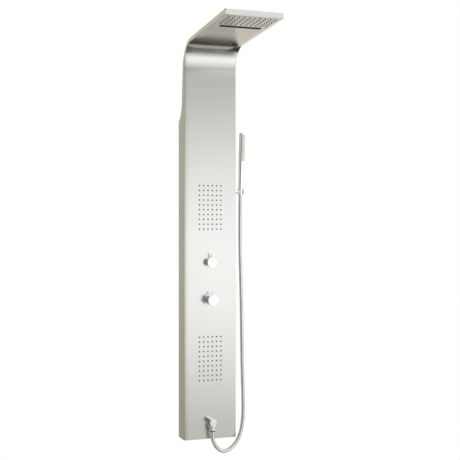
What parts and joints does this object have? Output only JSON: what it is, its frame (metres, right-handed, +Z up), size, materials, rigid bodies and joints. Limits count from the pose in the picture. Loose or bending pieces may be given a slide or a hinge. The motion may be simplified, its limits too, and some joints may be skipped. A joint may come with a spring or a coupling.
{
  "type": "rainfall shower column",
  "caption": "Wall-mounted shower column: a folded steel panel bent forward into a rain head, with body jets, a diverter, a lever mixer, a waterfall slot and a hose handset.",
  "frame": {"origin": "centre of the upper wall bracket's back face, on the wall plane", "axes": "+Z up along the panel, -Y out of the wall towards the user, +X towards the side that holds the handset"},
  "size_m": [0.2365, 0.541, 1.5159],
  "materials": {
    "brushed_steel": "brushed along the height, satin",
    "chrome": "polished",
    "brass": "cast and machined",
    "zinc_steel": "zinc plated",
    "silicone": "soft matte",
    "white_plastic": "moulded",
    "black_rubber": "moulded",
    "clear_tube": "extruded, slightly milky"
  },
  "bodies": {
    "casing": {"front_panel": "brushed_steel", "top_cover": "brushed_steel", "mixer_sleeve": "chrome", "hose_outlet": "chrome", "lower_hose_nut": "chrome", "handset_holder": "chrome", "shower_hose": "chrome", "diverter_body": "brass", "diverter_clamp_nut": "brass", "mixer_body": "brass", "mixer_clamp_nut": "brass", "mixer_cartridge_nut": "brass", "hot_inlet": "brass", "cold_inlet": "brass", "outlet_lock_nut": "brass", "outlet_elbow": "brass", "mixer_to_diverter_pipe": "brass", "jet_tee": "brass", "hanger_rail": "zinc_steel", "upper_wall_bracket": "zinc_steel", "lower_wall_bracket": "zinc_steel", "bottom_screw_left": "zinc_steel", "bottom_screw_right": "zinc_steel", "holder_screw": "zinc_steel", "upper_jet_nozzles": "silicone", "lower_jet_nozzles": "silicone", "rain_nozzles": "silicone", "waterfall_spout": "silicone", "upper_jet_chamber": "white_plastic", "lower_jet_chamber": "white_plastic", "rain_chamber": "white_plastic", "diverter_cartridge": "white_plastic", "mixer_cartridge": "white_plastic", "hot_check_valve": "white_plastic", "cold_check_valve": "white_plastic", "outlet_washer": "black_rubber", "rain_line": "clear_tube", "waterfall_line": "clear_tube", "upper_jet_line": "clear_tube", "lower_jet_line": "clear_tube", "handset_line": "clear_tube"},
    "diverter": {"diverter_spindle": "brass", "diverter_knob": "chrome", "diverter_pin": "chrome", "diverter_grub_screw": "zinc_steel"},
    "mixer_stem": {"mixer_rotor": "brass", "mixer_pivot_pin": "zinc_steel"},
    "mixer_handle": {"mixer_lever": "zinc_steel", "mixer_handle": "chrome", "mixer_pin": "chrome", "mixer_grub_screw": "zinc_steel"},
    "handset": {"handset_body": "chrome", "handset_spray_face": "white_plastic"},
    "hose_swivel": {"upper_hose_nut": "chrome"}
  },
  "joints": [
    {"name": "diverter_turn", "type": "hinge", "parent": "casing", "child": "diverter", "pos_m": [0, -0.085, -0.451], "axis": [0, -1, 0], "continuous": true},
    {"name": "mixer_turn", "type": "hinge", "parent": "casing", "child": "mixer_stem", "pos_m": [0, -0.088, -0.589], "axis": [0, -1, 0], "range_deg": [-45, 45]},
    {"name": "mixer_tilt", "type": "hinge", "parent": "mixer_stem", "child": "mixer_handle", "pos_m": [0, -0.088, -0.589], "axis": [1, 0, 0], "range_deg": [0, 20]},
    {"name": "handset_lift", "type": "slide", "parent": "casing", "child": "handset", "axis": [0, -0.0872, 0.9962], "range_m": [0, 0.06]},
    {"name": "hose_swivel_turn", "type": "hinge", "parent": "handset", "child": "hose_swivel", "pos_m": [0.122, -0.06, -0.2], "axis": [0, -0.0872, 0.9962], "continuous": true}
  ]
}
